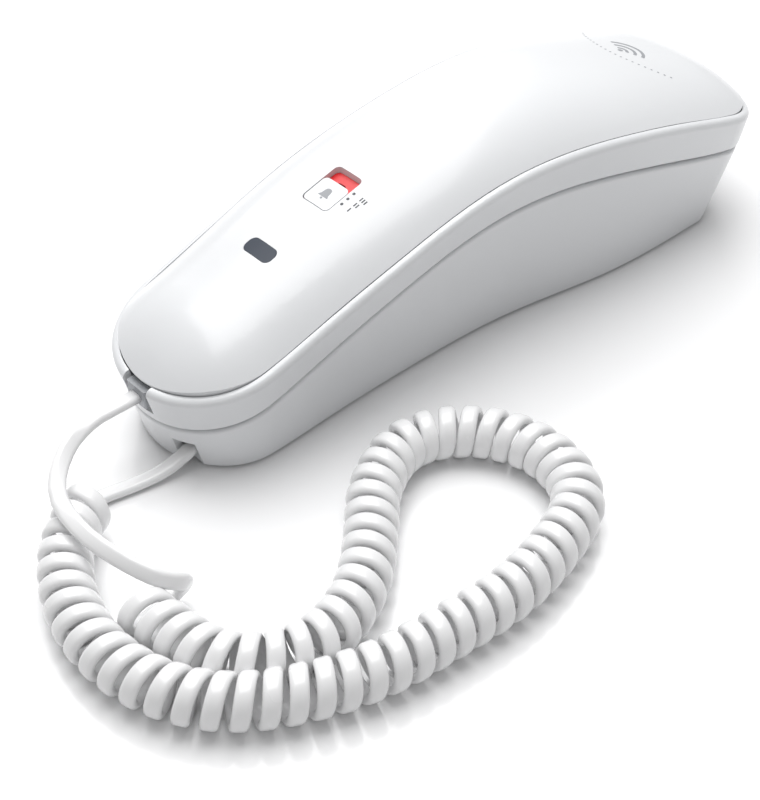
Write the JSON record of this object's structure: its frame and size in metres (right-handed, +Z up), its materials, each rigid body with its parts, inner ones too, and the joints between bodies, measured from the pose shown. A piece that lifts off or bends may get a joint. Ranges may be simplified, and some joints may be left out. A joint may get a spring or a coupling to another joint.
{
  "type": "slimline wall telephone",
  "caption": "White slimline corded telephone: a crowned handset with lamp window and ringer switch lies on its wall or table base, joined to it by a curly cord.",
  "frame": {"origin": "On the surface that the telephone stands on, under the middle of its length and width, the free cord left out.", "axes": "+Y from the mouthpiece end, where the cord leaves, to the earpiece end; +Z up, from the base to the handset's crowned cover; +X to the right of a person who looks along +Y."},
  "size_m": [0.1434, 0.2702, 0.0612],
  "materials": {
    "shell_white": "satin gloss white ABS",
    "key_white": "satin white",
    "smoked_window": "polished, smoked blue grey",
    "lamp_clear": "clear red epoxy",
    "flag_red": "satin",
    "switch_black": "matt",
    "silicone_grey": "matt",
    "circuit_board": "green solder mask",
    "foam_black": "open foam",
    "capsule_black": "matt",
    "aluminium_can": "satin",
    "rubber_black": "matt",
    "plug_clear": "clear polycarbonate",
    "socket_grey": "matt",
    "contact_gold": "gold plated",
    "steel_plain": "zinc plated",
    "screw_steel": "zinc plated",
    "spring_steel": "bright",
    "plunger_white": "satin",
    "piezo_brass": "plain",
    "cord_white": "satin white PVC"
  },
  "bodies": {
    "base": {"base_cradle": "shell_white", "base_floor": "shell_white", "rubber_feet": "rubber_black", "base_screws": "screw_steel", "ballast_plate": "steel_plain", "base_board": "circuit_board", "hook_spring": "spring_steel", "hook_switch": "switch_black", "ringer_housing": "capsule_black", "ringer_disc": "piezo_brass", "base_cord_jack": "socket_grey", "base_jack_contacts": "contact_gold", "line_jack": "socket_grey", "line_jack_contacts": "contact_gold", "base_plug": "plug_clear", "cord_tail_handset": "cord_white", "cord_coil": "cord_white", "cord_tail_base": "cord_white"},
    "handset": {"handset_front_shell": "shell_white", "handset_back_cover": "shell_white", "indicator_lens": "smoked_window", "indicator_lamp": "lamp_clear", "ringer_flag": "flag_red", "ringer_switch": "switch_black", "keypad_mat": "silicone_grey", "keypad_board": "circuit_board", "receiver_gasket": "foam_black", "receiver": "capsule_black", "microphone": "aluminium_can", "microphone_boot": "rubber_black", "handset_plug": "plug_clear", "handset_cord_jack": "socket_grey", "handset_jack_contacts": "contact_gold", "handset_weight": "steel_plain", "handset_screws": "screw_steel"},
    "ringer_knob": {"ringer_knob": "shell_white"},
    "hook_plunger": {"hook_plunger": "plunger_white"},
    "key_1": {"key_1": "key_white"},
    "key_2": {"key_2": "key_white"},
    "key_3": {"key_3": "key_white"},
    "key_4": {"key_4": "key_white"},
    "key_5": {"key_5": "key_white"},
    "key_6": {"key_6": "key_white"},
    "key_7": {"key_7": "key_white"},
    "key_8": {"key_8": "key_white"},
    "key_9": {"key_9": "key_white"},
    "key_star": {"key_star": "key_white"},
    "key_0": {"key_0": "key_white"},
    "key_hash": {"key_hash": "key_white"},
    "key_flash": {"key_flash": "key_white"},
    "key_redial": {"key_redial": "key_white"},
    "key_mute": {"key_mute": "key_white"}
  },
  "joints": [
    {"name": "handset_lift", "type": "slide", "parent": "base", "child": "handset", "axis": [0, 0, 1], "range_m": [0, 0.04]},
    {"name": "hook_plunger_travel", "type": "slide", "parent": "base", "child": "hook_plunger", "axis": [0, 0, 1], "range_m": [0, 0.004], "deforming": ["hook_spring"]},
    {"name": "ringer_slide", "type": "slide", "parent": "handset", "child": "ringer_knob", "axis": [0, 0.962, 0.2731], "range_m": [0, 0.0044]},
    {"name": "key_1_press", "type": "slide", "parent": "handset", "child": "key_1", "axis": [0, 0, 1], "range_m": [0, 0.001], "stiffness_N_per_m": 300, "springref_m": -0.0005},
    {"name": "key_2_press", "type": "slide", "parent": "handset", "child": "key_2", "axis": [0, 0, 1], "range_m": [0, 0.001], "stiffness_N_per_m": 300, "springref_m": -0.0005},
    {"name": "key_3_press", "type": "slide", "parent": "handset", "child": "key_3", "axis": [0, 0, 1], "range_m": [0, 0.001], "stiffness_N_per_m": 300, "springref_m": -0.0005},
    {"name": "key_4_press", "type": "slide", "parent": "handset", "child": "key_4", "axis": [0, 0, 1], "range_m": [0, 0.001], "stiffness_N_per_m": 300, "springref_m": -0.0005},
    {"name": "key_5_press", "type": "slide", "parent": "handset", "child": "key_5", "axis": [0, 0, 1], "range_m": [0, 0.001], "stiffness_N_per_m": 300, "springref_m": -0.0005},
    {"name": "key_6_press", "type": "slide", "parent": "handset", "child": "key_6", "axis": [0, 0, 1], "range_m": [0, 0.001], "stiffness_N_per_m": 300, "springref_m": -0.0005},
    {"name": "key_7_press", "type": "slide", "parent": "handset", "child": "key_7", "axis": [0, 0, 1], "range_m": [0, 0.001], "stiffness_N_per_m": 300, "springref_m": -0.0005},
    {"name": "key_8_press", "type": "slide", "parent": "handset", "child": "key_8", "axis": [0, 0, 1], "range_m": [0, 0.001], "stiffness_N_per_m": 300, "springref_m": -0.0005},
    {"name": "key_9_press", "type": "slide", "parent": "handset", "child": "key_9", "axis": [0, 0, 1], "range_m": [0, 0.001], "stiffness_N_per_m": 300, "springref_m": -0.0005},
    {"name": "key_star_press", "type": "slide", "parent": "handset", "child": "key_star", "axis": [0, 0, 1], "range_m": [0, 0.001], "stiffness_N_per_m": 300, "springref_m": -0.0005},
    {"name": "key_0_press", "type": "slide", "parent": "handset", "child": "key_0", "axis": [0, 0, 1], "range_m": [0, 0.001], "stiffness_N_per_m": 300, "springref_m": -0.0005},
    {"name": "key_hash_press", "type": "slide", "parent": "handset", "child": "key_hash", "axis": [0, 0, 1], "range_m": [0, 0.001], "stiffness_N_per_m": 300, "springref_m": -0.0005},
    {"name": "key_flash_press", "type": "slide", "parent": "handset", "child": "key_flash", "axis": [0, 0, 1], "range_m": [0, 0.001], "stiffness_N_per_m": 300, "springref_m": -0.0005},
    {"name": "key_redial_press", "type": "slide", "parent": "handset", "child": "key_redial", "axis": [0, 0, 1], "range_m": [0, 0.001], "stiffness_N_per_m": 300, "springref_m": -0.0005},
    {"name": "key_mute_press", "type": "slide", "parent": "handset", "child": "key_mute", "axis": [0, 0, 1], "range_m": [0, 0.001], "stiffness_N_per_m": 300, "springref_m": -0.0005}
  ],
  "couplings": [
    {"joint": "hook_plunger_travel", "follows": "handset_lift", "ratio": 0.1}
  ]
}
